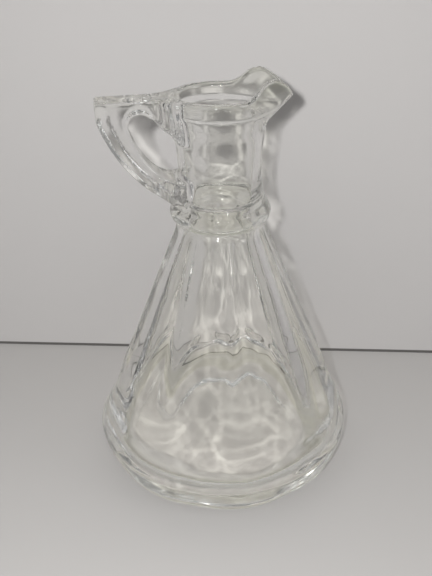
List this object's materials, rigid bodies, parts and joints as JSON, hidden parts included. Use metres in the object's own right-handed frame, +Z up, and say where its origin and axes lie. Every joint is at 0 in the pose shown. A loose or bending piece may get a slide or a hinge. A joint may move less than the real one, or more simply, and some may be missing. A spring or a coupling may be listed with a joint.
{
  "type": "glass cruet",
  "caption": "Small clear pressed-glass cruet with a panelled conical body, ringed neck, open pouring spout and loop handle.",
  "frame": {"origin": "middle of the base, on the surface that the cruet stands on", "axes": "+Z up through the mouth, +X towards the pouring spout, -X towards the handle"},
  "size_m": [0.0812, 0.0812, 0.1247],
  "materials": {
    "clear_glass": "gloss"
  },
  "bodies": {
    "root": {"base": "clear_glass", "heel": "clear_glass", "panelled_body": "clear_glass", "neck_ring": "clear_glass", "neck": "clear_glass", "rim": "clear_glass", "pouring_spout": "clear_glass", "handle": "clear_glass"}
  },
  "joints": []
}
